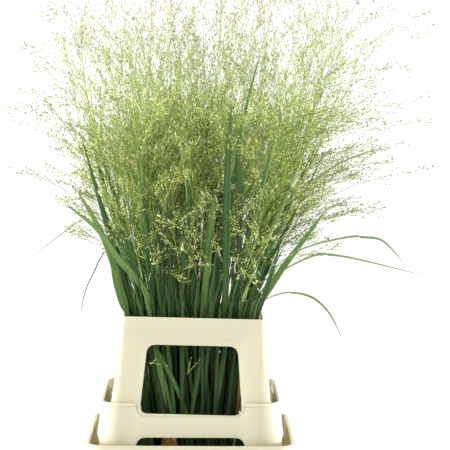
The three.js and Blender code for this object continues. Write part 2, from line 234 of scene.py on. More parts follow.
def add_tubes(batch, paths, radii, slot, sides=3, tone=0.5, along=None):
    """Tubes along paths (tubes, points, 3). Each ends in a tip, its last point. radii is (points - 1)."""
    paths = np.asarray(paths, float)
    tubes, points, _ = paths.shape
    way = unit(np.gradient(paths, axis=1))
    mean_way = unit(paths[:, -1] - paths[:, 0])
    level = np.where(np.abs(mean_way[:, 2:]) < 0.9, UP, np.array([0.0, 1.0, 0.0]))
    side = unit(np.cross(np.cross(mean_way, level)[:, None], way))
    front = np.cross(way, side)
    angles = 2 * math.pi * np.arange(sides) / sides
    radii = np.broadcast_to(np.asarray(radii, float), (tubes, points - 1))
    rings = paths[:, :-1, None] + radii[:, :, None, None] * (
        np.cos(angles)[:, None] * side[:, :-1, None] + np.sin(angles)[:, None] * front[:, :-1, None]
    )
    solid = np.concatenate([rings.reshape(tubes, -1, 3), paths[:, -1:]], axis=1)
    pattern = ring_triangles(points - 1, sides)
    offsets = np.arange(tubes)[:, None, None] * solid.shape[1]
    tones = np.repeat(np.broadcast_to(tone, tubes), solid.shape[1])
    if along is None:
        along = np.linspace(0, 1, points)
    along = np.broadcast_to(along, (tubes, points))
    along = np.concatenate([np.repeat(along[:, :-1], sides, axis=1), along[:, -1:]], axis=1)
    batch.add(solid.reshape(-1, 3), (pattern + offsets).reshape(-1, 3), slot, along=along.ravel(), tone=tones)


WIDEST = 0.42  # along a spikelet


def add_spikelets(batch, feet, ways, lengths, radii, slot, tone):
    """Spindles with three sides, widest below their middle."""
    count = len(feet)
    helper = np.where(np.abs(ways[:, 2:]) < 0.9, UP, np.array([1.0, 0.0, 0.0]))
    side = unit(np.cross(ways, helper))
    front = np.cross(ways, side)
    widest = feet + WIDEST * lengths[:, None] * ways
    ring = [
        widest + radii[:, None] * (math.cos(angle) * side + math.sin(angle) * front)
        for angle in (0, 2 * math.pi / 3, 4 * math.pi / 3)
    ]
    solid = np.stack([feet, *ring, feet + lengths[:, None] * ways], axis=1)
    pattern = np.array([[0, 2, 1], [0, 3, 2], [0, 1, 3], [1, 2, 4], [2, 3, 4], [3, 1, 4]])
    offsets = np.arange(count)[:, None, None] * 5
    along = np.tile([0, 0.4, 0.4, 0.4, 1], count)
    triangles = (pattern + offsets).reshape(-1, 3)
    batch.add(solid.reshape(-1, 3), triangles, slot, along=along, tone=np.repeat(tone, 5))


LEAF_THICKNESS = 0.7
LEAF_SECTION = np.array([  # across the leaf, above its fold, below it
    [1, 0], [0.5, 0], [0, 0], [-0.5, 0], [-1, 0], [-0.5, -0.75], [0, -1], [0.5, -0.75],
])


def add_leaf(batch, path, width, form, face, tone, fold=0.22, twist=0.0, slot=0):
    """A leaf along a path (points, 3) that ends in its tip. face is the way its upper side looks."""
    way = unit(np.gradient(path, axis=0))
    share = np.linspace(0, 1, len(path))
    side = unit(np.cross(np.broadcast_to(face, way.shape), way))
    normal = np.cross(way, side)
    turn = (twist * share)[:, None]
    side, normal = np.cos(turn) * side + np.sin(turn) * normal, np.cos(turn) * normal - np.sin(turn) * side
    across, depth = LEAF_SECTION.T
    foot, growth, fullness, bluntness = form
    half = width / 2 * np.minimum(foot + growth * share, 1) * (1 - share ** fullness) ** bluntness
    half = half[:-1, None, None]
    thick = np.minimum(LEAF_THICKNESS, 0.9 * half)
    rings = path[:-1, None] + half * across[:, None] * side[:-1, None]
    rings = rings + (half * fold * np.abs(across)[:, None] + thick * depth[:, None]) * normal[:-1, None]
    points = np.concatenate([rings.reshape(-1, 3), path[-1:]])
    along = np.append(np.repeat(share[:-1], len(across)), 1)
    acrosses = np.append(np.tile(across, len(path) - 1), 0)
    triangles = ring_triangles(len(path) - 1, len(across))
    batch.add(points, triangles, slot, along=along, across=acrosses, tone=tone)


def catmull_rom(points, count):
    """Points on a centripetal Catmull-Rom curve through points, as three.js spaces them."""
    points = [np.asarray(point, float) for point in points]
    ends = [2 * points[0] - points[1], *points, 2 * points[-1] - points[-2]]
    curve = []
    for share in np.linspace(0, 1, count):
        place_on = share * (len(points) - 1)
        k = min(int(place_on), len(points) - 2)
        before, first, second, beyond = ends[k:k + 4]
        step0, step1, step2 = (math.dist(ends[n], ends[n + 1]) ** 0.5 for n in range(k, k + 3))
        slope1 = ((first - before) / step0 - (second - before) / (step0 + step1)) * step1 + second - first
        slope2 = ((beyond - second) / step2 - (beyond - first) / (step1 + step2)) * step1 + second - first
        t = place_on - k
        cubic = -3 * first + 3 * second - 2 * slope1 - slope2, 2 * first - 2 * second + slope1 + slope2
        curve.append(first + slope1 * t + cubic[0] * t * t + cubic[1] * t ** 3)
    return np.array(curve)


# ---- The bunch's shape ----


def half_width(z):
    above = np.maximum(z - RIM_HEIGHT, 0)
    bend = BEND["loss"] * BEND["length"] * (1 - np.exp(-above / BEND["length"]))
    below = FOOT_HALF + (RIM_HALF - FOOT_HALF) * (z / RIM_HEIGHT) ** 2
    return np.where(z < RIM_HEIGHT, below, RIM_HALF + SPREAD * above - SPREAD_LOSS * above ** 2 - bend)


def place(across, back, z):
    """Points at a height, for shares of the bunch's half width and half depth."""
    above = np.maximum(z - RIM_HEIGHT, 0)
    half = half_width(z)
    settled = np.minimum(above / ROUNDING_HEIGHT, 1)
    rounding = ROUNDING * settled
    depth = 1 - (1 - DEPTH_SHARE) * settled
    x = PLUME_DRIFT * above + across * half * (1 - rounding * np.square(back))
    y = back * half * depth * (1 - rounding * np.square(across))
    return np.stack(np.broadcast_arrays(x, y, z), axis=-1)


def draws(seed):
    """The same draws as in the part's source."""
    state = seed * 7919 + 17

    def draw(low, high):
        nonlocal state
        state = state * 16807 % 2147483647
        return low + (high - low) * state / 2147483647

    return draw


def span(index, count, offset=0.0):
    """The middle of a cell, and its bounds, which are open at the bunch's edge."""
    middle = ((2 * index + 1) / count - 1) * COLUMNS_SHARE + offset
    half = CELL_SHARE * COLUMNS_SHARE / count
    low = -math.inf if index == 0 else middle - half
    high = math.inf if index == count - 1 else middle + half
    return middle, (low, high)


def row_offset(j):
    return ((2 * j) % ROWS / (ROWS - 1) - 0.5) * 1.6 * COLUMNS_SHARE / COLUMNS


class Culm:
    """A culm's line: its shares of the bunch at any height. The solids' ones have a cell."""

    def __init__(self, a, b, phase, top, *cell):
        self.a, self.b, self.phase, self.top, self.cell = a, b, phase, top, cell

    def shares(self, z):
        a = self.a + SWAY["share"] * np.sin(z / SWAY["across"] + self.phase)
        b = self.b + SWAY["share"] * np.cos(z / SWAY["back"] + self.phase)
        return a, b

    def at(self, z):
        return place(*self.shares(z), z)


def own_culm(i, j, draw):
    across, across_bounds = span(i, COLUMNS, row_offset(j))
    back, back_bounds = span(j, ROWS)
    a = across + draw(-CULM_JITTER, CULM_JITTER) / COLUMNS
    b = back + draw(-CULM_JITTER, CULM_JITTER) / ROWS
    phase = draw(0, 2 * math.pi)
    top = CULM_TOP - TOP_LOSS["edge"] * max(a * a, b * b) - draw(0, TOP_LOSS["most"])
    return Culm(a, b, phase, top, i, j, across_bounds, back_bounds)


def blade_quarter(culm, draw):
    any_way = draw(0, 4)
    i, j, *_ = culm.cell
    if j == 0:
        return 3
    if j == ROWS - 1:
        return 1
    if i % (COLUMNS - 1) == 0:
        return 1 + 2 * math.floor(any_way / 2)
    return math.floor(any_way)


def own_blade(culm, draw, blade):
    """A blade of the solids: its path, its width and the way it faces."""
    z0, length, width = draw(*blade["foot"]), draw(*blade["length"]), blade["width"]
    turn = (blade_quarter(culm, draw) + draw(-0.15, 0.15)) * math.pi / 2
    face = way_at(turn)
    points = []
    for t in BLADE_STEPS:
        z = z0 + length * t
        room = CELL_SHARE * half_width(z) / COLUMNS - 0.25 * width - 2
        points.append(culm.at(z) + face * min(BLADE_REACH * t, 0.6 * room))
    return catmull_rom(points, count=22), width, -face


def branch_paths(branches):
    """Paths (branches, points, 3). Each branch tells where it leaves the culm, its turn, run and rise."""
    a, b, z0, turn, run, rise = np.array(branches).T[:, :, None]
    t = BRANCH_STEPS
    out = run * (0.7 * t + 0.3 * t * t)
    return place(a + np.cos(turn) * out, b + np.sin(turn) * out, z0 + rise * t * (1.6 - 0.6 * t))


def room_ahead(start, step, low, high):
    return ((high if step > 0 else low) - start) / step


def own_branches(culm, draw):
    """The branches that the solids have."""
    i, j, across_bounds, back_bounds = culm.cell
    where = "outer" if i % (COLUMNS - 1) == 0 or j % (ROWS - 1) == 0 else "inner"
    count = SOLID_BRANCHES[where]
    scatter, top_gap = SOLID_BRANCHES["scatter"], SOLID_BRANCHES["top_gap"]
    foot = SOLID_BRANCHES[where + "_foot"] + draw(-scatter, scatter)
    phase = draw(0, 2 * math.pi)
    rows = []
    for k in range(count):
        z0 = foot + (culm.top - foot - top_gap) * (k + 0.5) / count
        a, b = culm.shares(z0)
        turn = phase + k * GOLDEN_ANGLE
        step_a, step_b = math.cos(turn), math.sin(turn)
        reach = PLUME_HALF / half_width(z0 + SPRAY_RISE) - math.hypot(a, b)
        room = min(reach, room_ahead(a, step_a, *across_bounds), room_ahead(b, step_b, *back_bounds))
        run = room * draw(*SOLID_RUN) * (1 - 0.3 * k / count)
        rise = 0.5 * run * half_width(z0) + draw(*SOLID_RISE)
        rows.append((a, b, z0, turn, run, rise))
    return rows


def more_branches(culm, count, random):
    """Finer branches, more of them low on the culm. Those that leave the bunch's side hang out far."""
    fine = FINE_BRANCH
    share = ((np.arange(count) + random.uniform(0, 1, count)) / count) ** fine["crowding"]
    z0 = BRANCH_FOOT + (culm.top - BRANCH_FOOT - fine["top_gap"]) * share
    a, b = culm.shares(z0)
    turn = np.arange(count) * GOLDEN_ANGLE + random.uniform(0, 2 * math.pi)
    outward = np.maximum(a * np.cos(turn) + b * np.sin(turn), 0)
    outward = outward * np.where(a > 0, HANGING["right"][0], HANGING["left"][0])
    length = random.uniform(*fine["length"], count) * (1 - fine["length_loss"] * share)
    hanging = np.where(a > 0, *(np.interp(z0, *HANGING[side][1:]) for side in ("right", "left")))
    length = length + fine["hang"] * hanging * outward * random.uniform(0.1, 1, count) ** 1.35
    run = length / half_width(z0 + SPRAY_RISE)
    edge = PLUME_HALF / half_width(z0 + SPRAY_RISE)
    run = np.minimum(run, np.maximum(edge - np.hypot(a, b), fine["shortest"]))
    rise = random.uniform(*fine["rise"], count) * (1 - fine["rise_loss"] * share)
    rise = rise * (1 - fine["droop"] * np.minimum(outward, 1))
    rise = np.minimum(rise, np.maximum(culm.top + fine["above_top"] - z0, fine["least_rise"]))
    return list(zip(a, b, z0, turn, run, rise))


# ---- Culms, panicles and leaves as meshes ----

STEM, LEAF, TWIG, SPIKE = range(4)


def add_stem(batch, culm, tone, kind):
    sides, step = CULM_MESH[kind]
    levels = np.append(np.arange(CULM_FOOT, culm.top - 10, step), culm.top)
    radii = np.interp(levels, *CULM_RADII)
    phase = (levels + 40 * culm.phase) % NODE_SPACING / NODE_SPACING
    low = levels < SHEATH["top"]
    sheath = np.where(low & (phase < SHEATH["share"]), SHEATH["depth"], 0)
    knot = np.exp(-((phase - KNOT["place"]) / KNOT["width"]) ** 2) * np.where(low, KNOT["low"], KNOT["high"])
    radii = radii + sheath + knot
    radii = np.where(levels < SLIM_FOOT["top"], np.minimum(radii, SLIM_FOOT["radius"]), radii)
    path = culm.at(levels)[None]
    add_tubes(batch, path, radii[:-1], STEM, sides=sides, tone=tone, along=levels / CULM_TOP)


def along_paths(paths, owner, share):
    """The point and the way on each owner's path at a share of its points."""
    place_on = share * (paths.shape[1] - 1)
    k = np.minimum(place_on.astype(int), paths.shape[1] - 2)
    first, second = paths[owner, k], paths[owner, k + 1]
    return first + (place_on - k)[:, None] * (second - first), unit(second - first)


def drawn_in(paths, margin):
    """Paths, each one shortened toward its foot if its tip would leave the room."""
    low, high = INSIDE
    foot, tip = paths[:, 0], paths[:, -1]
    run = tip - foot
    bound = np.where(run > 0, high - margin, low + margin)
    share = np.clip((bound - foot) / np.where(np.abs(run) < 1e-6, 1e-6, run), 0, 1).min(axis=1)
    return foot[:, None] + share[:, None, None] * (paths - foot[:, None])


def add_sprays(batch, paths, random, form=PLUME_SPRAYS):
    """Branches along paths (branches, points, 3), with twigs, and spikelets on pedicels."""
    pale = form["pale"]
    paths = drawn_in(paths, 8)
    tones = 0.5 * pale + random.uniform(0, 1, len(paths)) * (1 - 0.5 * pale)
    fine = np.interp(paths[:, 0, 2], *FINE_SHARES) * (1 - 0.6 * pale)
    radii = fine[:, None] * np.linspace(*BRANCH_RADII, paths.shape[1] - 1)
    add_tubes(batch, paths, radii, TWIG, tone=tones)
    twigs, tones = add_twigs(batch, paths, tones, random, form)
    add_ears(batch, twigs, tones, random, pale)


def add_twigs(batch, paths, tones, random, form):
    """Twigs on branches. Returns their paths and tones."""
    lengths = np.linalg.norm(np.diff(paths, axis=1), axis=2).sum(1)
    counts = np.clip(np.round(lengths / form["spacing"]), TWIGS["fewest"], TWIGS["most"]).astype(int)
    owner = np.repeat(np.arange(len(paths)), counts)
    count = len(owner)
    bare = np.interp(paths[owner, 0, 2], *form["bare"])
    position = bare + (1 - bare) * random.uniform(0, 1, count) ** TWIGS["crowding"]
    foot, way = along_paths(paths, owner, position)
    aside = unit(np.cross(way, random.normal(size=way.shape)))
    tilt = random.uniform(*TWIGS["tilt"], count)[:, None]
    way = unit(np.cos(tilt) * way + np.sin(tilt) * aside + TWIGS["lift"] * UP)
    length = TWIG_LENGTH["tip"] + TWIG_LENGTH["added"] * (1 - position)
    reach = form["reach"] * (length * random.uniform(*TWIG_LENGTH["range"], count))[:, None]
    sag = random.uniform(*TWIGS["sag"], count)[:, None]
    middle = foot + reach * (0.5 * way + 0.25 * sag * UP)
    tip = foot + reach * (way + sag * UP)
    twigs = drawn_in(np.stack([foot, middle, tip], axis=1), 5)
    tones = np.clip(tones[owner] + random.normal(0, 0.2, count), 0, 1)
    fine = np.interp(twigs[:, 0, 2], *FINE_SHARES) * (1 - 0.2 * form["pale"])
    add_tubes(batch, twigs, fine[:, None] * [TWIG_RADIUS, 0.8 * TWIG_RADIUS], TWIG, tone=tones)
    return twigs, tones


def add_ears(batch, twigs, tones, random, pale):
    """Spikelets on twigs: one at each tip, and the others on pedicels."""
    low, high = INSIDE
    owner = np.repeat(np.arange(len(twigs)), SPIKELETS_ON_TWIG)
    count = len(owner)
    position = np.tile(np.linspace(0.4, 1, SPIKELETS_ON_TWIG), len(twigs))
    aside = position < 1
    position = position - random.uniform(0, 0.15, count) * aside
    start, way = along_paths(twigs, owner, position)
    spread = random.uniform(*PEDICEL["spread"], count) * aside
    way = unit(way + spread[:, None] * unit(random.normal(size=start.shape)) + PEDICEL["lift"] * UP)
    end = start + (random.uniform(*PEDICEL["length"], count) * aside)[:, None] * way
    way = unit(way + PEDICEL["turn"] * unit(random.normal(size=start.shape)))
    lengths = SPIKELET["length"] * random.uniform(*SPIKELET["lengths"], count)
    tips = end + lengths[:, None] * way
    kept = ((tips > low) & (tips < high)).all(axis=1)
    kept &= random.uniform(0, 1, count) < np.interp(end[:, 2], *SPIKELETS_LEFT)
    tone = 0.3 * tones[owner] + 0.7 * random.beta(0.5, 0.6, count)
    tone = pale + (1 - pale) * np.clip(tone, 0, 1)
    on_leg = kept & aside
    legs = np.stack([start, end + 0.3 * way], axis=1)[on_leg]
    add_tubes(batch, legs, [PEDICEL["radius"]], TWIG, tone=tone[on_leg])
    plumpness = random.uniform(*SPIKELET["radii"], count) * np.interp(end[:, 2], *SPIKELET_RADII)
    radii = SPIKELET["radius"] * (1 - 0.35 * pale) * plumpness
    add_spikelets(batch, end[kept], way[kept], lengths[kept], radii[kept], SPIKE, tone[kept])


def tag(piece, materials, slot, *nodes):
    """Gives a piece its materials, and says what it rides on and the solids that it replaces. Its slot is not
    used.
    """
    for material in materials:
        piece.data.materials.append(material)
    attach(piece, "root")
    if nodes:
        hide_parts(*nodes)


# The room that the solids take, a little drawn in, which every fine point keeps to.
INSIDE = (np.array(cad_box[0]) / MM + 0.5, np.array(cad_box[1]) / MM - 0.5)


def own_grass(materials):
    """Each solid culm with its panicle as one fine stem."""
    culms = {}
    for i in range(COLUMNS):
        for j in range(ROWS):
            seed = 1 + i * ROWS + j
            draw = draws(seed)
            random = np.random.default_rng(SEED + seed)
            culm = own_culm(i, j, draw)
            culms[i, j] = culm
            upper = own_blade(culm, draw, UPPER_BLADE)
            branches = own_branches(culm, draw)
            lower = own_blade(culm, draw, LOWER_BLADE)
            batch = Batch()
            tone = random.uniform(0, 1)
            add_stem(batch, culm, tone, "own")
            for path, width, face in (upper, lower):
                tone, twist = random.uniform(0, 1), random.normal(0, 0.25)
                add_leaf(batch, path, width, BLADE_FORM, face, tone, twist=twist, slot=LEAF)
            branches += more_branches(culm, BRANCHES["own"] - len(branches), random)
            add_sprays(batch, branch_paths(branches), random)
            label = f"{i + 1}_{j + 1}"
            tag(batch.build(f"grass_{label}"), materials, "green_culm", f"culm_{label}", f"panicle_{label}")
    return culms


def disc_share(random, edge):
    """A place in the bunch's rounded square, in shares of its half width."""
    a, b = random.uniform(-1, 1, 2)
    squeeze = 1 - ROUNDING * np.array([b * b, a * a])
    return edge * a * squeeze[0], edge * b * squeeze[1]


def more_grass(materials):
    """Flowering culms between the solids' own."""
    random = np.random.default_rng(SEED)
    for number in range(MORE_CULMS):
        a, b = disc_share(random, MORE_CULMS_EDGE)
        top = MORE_TOPS[0] + (MORE_TOPS[1] - MORE_TOPS[0]) * random.uniform(0, 1) ** 1.3
        culm = Culm(a, b, random.uniform(0, 2 * math.pi), top)
        batch = Batch()
        add_stem(batch, culm, random.uniform(0, 1), "more")
        add_sprays(batch, branch_paths(more_branches(culm, BRANCHES["more"], random)), random)
        tag(batch.build(f"more_grass_{number + 1}"), materials, "green_culm")


def leaf_place(a, b, z):
    """As place, but below the rim the leaves spread evenly with the height."""
    low = np.minimum(z, RIM_HEIGHT)
    wide = LEAF_FOOT_HALF + (RIM_HALF - LEAF_FOOT_HALF) * low / RIM_HEIGHT
    scale = wide / half_width(low)
    return place(a * scale, b * scale, z)


def tuft_leaf(batch, random):
    """A long leaf from deep in the bucket that fans out with the culms, now and then across them."""
    foot = random.uniform(-LEAF_EDGE, LEAF_EDGE, 2)
    crossing = CROSSING["usual"] if random.uniform() < CROSSING["chance"] else CROSSING["rare"]
    rim = np.clip(foot + random.normal(0, crossing, 2), -LEAF_EDGE, LEAF_EDGE)
    tips = LEAF_TIPS[random.choice(len(LEAF_TIPS), p=LEAF_TIP_CHANCES)]
    z = np.linspace(random.uniform(*LEAF_FEET), random.uniform(*tips), 26)
    climb = np.minimum(z / RIM_HEIGHT, 1.1)[:, None]
    shares = foot * (1 - climb) + rim * climb
    path = leaf_place(shares[:, 0], shares[:, 1], z)
    # Above the rim it arches its own way, mostly outward.
    lean = unit(rim + random.normal(0, ARCH["turn"], 2))
    arch = random.exponential(ARCH["strength"]) * np.maximum(z - RIM_HEIGHT, 0) ** 2
    arch = np.minimum(arch, ARCH["most"])
    path[:, :2] += arch[:, None] * lean
    path[:, 2] -= random.uniform(0, ARCH["drop"]) * arch
    turn = random.uniform(0, 2 * math.pi)
    width = random.uniform(*LEAF_WIDTHS["thin" if random.uniform() < THIN_CHANCE else "wide"])
    twist = random.normal(0, 1.1)
    tone = max(random.uniform(DARKEST, 1) * (1 - 0.5 * np.abs(rim).max()), DARKEST)
    fold = random.uniform(0.12, 0.4)
    add_leaf(batch, path, width, TUFT_FORM, way_at(turn, 0.1), tone, fold, twist)


def tufts(material):
    random = np.random.default_rng(SEED + 100)
    for number in range(TUFTS):
        batch = Batch()
        for _ in range(TUFT_LEAVES // TUFTS):
            tuft_leaf(batch, random)
        tag(batch.build(f"leaf_tuft_{number + 1}"), [material], "green_blade")


# Leaves that stand out at the front and the sides: width, fold, tone, and points across, back and up.
FRONT_LEAVES = {
    "tall_middle": (14, 0.15, 0.52, [(28, -20, 40), (49, -88, 386), (50, -134, 486), (50, -170, 574),
        (52, -195, 640), (56, -210, 700)]),
    "beside_middle": (10, 0.25, 0.3, [(35, -15, 40), (66, -76, 386), (69, -104, 480), (70, -130, 570),
        (70, -140, 620)]),
    "thin_rising": (6, 0.3, 0.8, [(34, -10, 40), (58, -60, 386), (64, -120, 560), (72, -150, 670),
        (86, -160, 735), (98, -162, 775)]),
    "light_middle": (12, 0.2, 0.84, [(10, -18, 40), (17, -88, 386), (23, -112, 460), (29, -132, 530),
        (33, -140, 572)]),
    "short_middle": (9, 0.3, 0.35, [(-8, -20, 40), (-15, -90, 386), (-14, -98, 420), (-9, -104, 455)]),
    "inner_left": (10, 0.25, 0.3, [(-14, -14, 40), (-38, -86, 386), (-43, -106, 460), (-47, -116, 530),
        (-48, -120, 585)]),
    "inner_left_dark": (9, 0.25, 0.15, [(-10, -14, 40), (-26, -88, 386), (-30, -108, 450), (-34, -116, 520),
        (-36, -120, 560)]),
    "outer_left_dark": (9, 0.25, 0.35, [(-18, -14, 40), (-52, -84, 386), (-57, -102, 440), (-62, -110, 500),
        (-66, -114, 548)]),
    "left_wide": (13, 0.15, 0.97, [(-28, -12, 40), (-86, -64, 386), (-99, -72, 414), (-130, -84, 503),
        (-170, -92, 576)]),
    "left_arching": (12, 0.15, 0.93, [(-18, -18, 40), (-50, -86, 386), (-76, -98, 437), (-108, -108, 475),
        (-134, -112, 513), (-184, -116, 554)]),
    "left_upright": (9, 0.2, 0.7, [(-24, -10, 40), (-70, -78, 386), (-80, -90, 440), (-92, -102, 500),
        (-100, -108, 540)]),
    "right_low_corner": (12, 0.2, 0.2, [(50, -60, 100), (80, -96, 225), (82, -100, 250), (82, -98, 300),
        (82, -90, 350)]),
    "left_corner": (11, 0.25, 0.85, [(-30, -14, 40), (-92, -86, 386), (-101, -90, 405), (-112, -94, 440),
        (-119, -96, 480)]),
    "right_wide": (11, 0.2, 0.9, [(32, -12, 40), (90, -62, 386), (105, -66, 410), (134, -74, 457),
        (167, -80, 503), (199, -84, 548)]),
    "right_inner": (8, 0.3, 0.6, [(26, -16, 40), (82, -82, 386), (98, -92, 440), (122, -100, 510),
        (146, -104, 560)]),
    "right_corner": (9, 0.3, 0.5, [(30, -14, 40), (97, -86, 386), (104, -90, 412), (118, -94, 455),
        (130, -96, 495)]),
    "right_back": (10, 0.3, 0.55, [(30, 30, 40), (97, 60, 386), (103, 64, 420), (116, 70, 470),
        (124, 74, 500)]),
    "left_back": (10, 0.3, 0.45, [(-30, 30, 40), (-91, 60, 386), (-98, 64, 420), (-110, 70, 470),
        (-118, 74, 500)]),
    "right_thin": (3.5, 0.3, 1.0, [(30, 0, 40), (88, -30, 386), (112, -50, 470), (160, -66, 560),
        (204, -72, 605), (260, -76, 630), (298, -78, 636)]),
    # Painted shade: these two are orange-brown sheets that stand for the holder's inside in shade, seen
    # through its windows.
    "painted_shade_window": (6, 0.2, 0, [(-30, -60, 150), (-36, -84, 225), (-44, -92, 262), (-47, -94, 290)]),
    "painted_shade_low": (26, 0.05, 0, [(-28, -104, 120), (-31, -112, 190), (-32, -113, 212), (-33, -112, 240)]),
    "low_left": (30, 0.1, 0.42, [(-50, -100, 60), (-66, -106, 190), (-72, -104, 214), (-78, -98, 250)]),
    "low_right": (18, 0.2, 0.2, [(60, -90, 60), (72, -104, 190), (77, -100, 230), (80, -94, 280)]),
    # Painted reflection: an orange-brown sheet for a warm reflection at the front window's right edge.
    "painted_reflection_right": (5, 0.2, 0, [(50, -40, 150), (68, -84, 240), (72, -92, 290), (73, -94, 330)]),
    "green_window": (11, 0.25, 0.85, [(-8, -50, 120), (-26, -84, 225), (-36, -94, 270), (-50, -96, 330),
        (-60, -94, 386), (-70, -96, 430)]),
    "crossing_window": (8, 0.3, 0.75, [(12, -40, 100), (-6, -84, 240), (-30, -94, 300), (-56, -96, 350),
        (-74, -92, 400)]),
}


# Leaves that fan out from low in the bucket, just inside the front window, and half their width apart.
FAN = {
    "leaves": 13, "foot": 26, "foot_scatter": 14, "rim": 90, "rim_scatter": 12, "edge": 96,
    "feet": (60, 120), "heights": [60, 225, RIM_HEIGHT, 520], "back": [-55, -88, -92, -112],
    "width": (5, 13), "tone": (0.22, 0.98),
}


def fan_leaves(batch):
    random = np.random.default_rng(SEED + 200)
    for k in range(FAN["leaves"]):
        across = 2 * (k + random.uniform(0.1, 0.9)) / FAN["leaves"] - 1
        foot = across * FAN["foot"] + random.normal(0, FAN["foot_scatter"])
        rim = across * FAN["rim"] + random.normal(0, FAN["rim_scatter"])
        tips = LEAF_TIPS[random.choice(2)]
        heights = np.array([random.uniform(*FAN["feet"]), 225, 300, RIM_HEIGHT, random.uniform(*tips)])
        share = np.minimum(heights / RIM_HEIGHT, 1.15)
        x = np.clip(foot + (rim - foot) * share ** 1.5, -FAN["edge"], FAN["edge"])
        y = np.interp(heights, FAN["heights"], FAN["back"]) + random.uniform(-5, 8)
        path = catmull_rom(np.stack([x, y, heights], axis=1), count=30)
        width = random.uniform(*FAN["width"])
        face = np.array([random.normal(0, 0.5), -1, 0.1])
        tone = random.uniform(*FAN["tone"]) * (1 - 0.6 * abs(across))
        fold, twist = random.uniform(0.1, 0.35), random.normal(0, 0.4)
        add_leaf(batch, path, width, FAN_FORM, face, tone, fold, twist)


def front_leaves(material):
    batch = Batch()
    fan_leaves(batch)
    for name, (width, fold, tone, points) in FRONT_LEAVES.items():
        path = catmull_rom(points, count=44)
        twist = 0.5 if name.startswith("thin") else 0.15
        add_leaf(batch, path, width, FRONT_FORM, (0.25, -1, 0.15), tone, fold, twist)
    tag(batch.build("front_leaves"), [material], "green_blade")


# Thin sprays that hang over the leaves at the front: where each starts, and its run across, back and up.
FRONT_SPRAYS = [
    ((-40, -112, 470), (95, -14, 38)), ((-30, -112, 450), (80, -12, 42)), ((10, -116, 520), (60, -12, 26)),
    ((48, -118, 560), (50, -8, -54)), ((70, -116, 550), (44, -8, -76)), ((-66, -108, 500), (80, -12, 44)),
    ((30, -112, 500), (72, -8, -72)), ((-80, -100, 475), (68, -14, -36)), ((84, -108, 500), (30, -10, 64)),
    ((-6, -112, 560), (54, -14, 14)), ((-104, -100, 560), (70, -12, -16)), ((90, -108, 590), (62, -10, -12)),
    ((-50, -116, 440), (70, -10, 26)), ((60, -120, 470), (56, -10, 36)), ((0, -118, 455), (-50, -10, 60)),
    ((80, -118, 450), (40, -8, 70)), ((100, -120, 520), (52, -10, 30)), ((-90, -110, 520), (-40, -8, 46)),
    ((40, -140, 490), (-90, -10, 44)), ((90, -120, 480), (-60, -10, 80)), ((-20, -130, 470), (40, -8, 90)),
    ((-70, -112, 430), (30, -8, 60)), ((-50, -116, 510), (60, -10, -30)), ((-30, -120, 530), (-44, -10, -40)),
    ((-10, -118, 430), (20, -10, 70)), ((20, -124, 560), (44, -10, -40)), ((100, -120, 560), (-50, -10, -44)),
    ((112, -112, 500), (-40, -8, -46)), ((60, -118, 430), (-30, -8, 70)), ((-44, -120, 560), (40, -12, -46)),
    ((-84, -108, 540), (30, -10, -70)), ((70, -122, 520), (24, -8, -70)), ((4, -120, 500), (-60, -8, -40)),
]
# Bare twigs before the leaves in the window: where each starts, its run, and its spikelets.
WINDOW_TWIGS = [
    ((-62, -100, 320), (26, 0, -5), 2), ((-60, -100, 316), (12, 0, 12), 1),
    ((-6, -100, 303), (18, 0, 20), 3), ((-4, -100, 307), (4, 0, 19), 2),
]
WINDOW_TWIG_RADII = [0.45, 0.4, 0.35]
WINDOW_SPIKELET = {"length": 4, "radius": 0.65, "tone": 0.8}


def front_sprays(materials):
    random = np.random.default_rng(SEED + 300)
    starts, runs = np.array(FRONT_SPRAYS, float).transpose(1, 0, 2)
    t = BRANCH_STEPS[None, :, None]
    paths = starts[:, None] + runs[:, None] * t + (18 * t * (1 - t)) * UP
    paths[:, :, 1] += 36 * (1 - t[:, :, 0]) ** 3  # their feet are among the leaves
    batch = Batch()
    add_sprays(batch, paths, random, LOOSE_SPRAYS)
    for start, run, count in WINDOW_TWIGS:
        start, run = np.array(start), np.array(run, float)
        path = start + np.linspace(0, 1, 4)[:, None] * run
        add_tubes(batch, path[None], WINDOW_TWIG_RADII, TWIG, tone=0.9)
        feet = start + np.linspace(0.5, 0.95, count)[:, None] * run
        length, radius, tone = (np.full(count, value) for value in WINDOW_SPIKELET.values())
        add_spikelets(batch, feet, np.tile(unit(run), (count, 1)), length, radius, SPIKE, tone)
    tag(batch.build("front_sprays"), materials, "green_culm")


# Long blades: the culm, the height and the way each leaves it, its width, and points as the distance from the
# culm and the height above where it leaves.
LONG_BLADES = {
    "right_high": ((4, 2), 425, 0, 9, [(0, 0), (61, 50), (135, 72), (164, 74), (191, 69), (229, 30)]),
    "right_middle": ((4, 1), 415, 0, 10, [(0, 0), (39, 22), (98, 53), (121, 60), (150, 58), (284, 27)]),
    "right_low": ((4, 0), 408, 10, 8, [(0, 0), (45, 0), (67, 7), (92, 11), (123, 3), (148, -20), (172, -66)]),
    "left_hanging": ((0, 1), 430, 180, 8, [(0, 0), (22, 40), (46, 50), (68, 14), (80, -15), (87, -56)]),
    "left_thin": ((0, 2), 440, 180, 6, [
        (0, 0), (38, 38), (63, 62), (86, 84), (104, 78), (134, 55), (182, 18)]),
}


def long_blades(culms, material):
    for name, (cell, z, facing, width, run) in LONG_BLADES.items():
        out = way_at(math.radians(facing))
        foot = culms[cell].at(z)
        path = catmull_rom([foot + out * distance + UP * rise for distance, rise in run], count=40)
        batch = Batch()
        tone, twist = (1.0, -1.1) if name.startswith("right") else (0.92, 0.35)
        add_leaf(batch, path, width, BLADE_FORM, -out, tone, 0.2, twist)
        tag(batch.build(f"{name}_blade"), [material], "green_blade", f"long_blade_{name}")


# ---- Holder ----


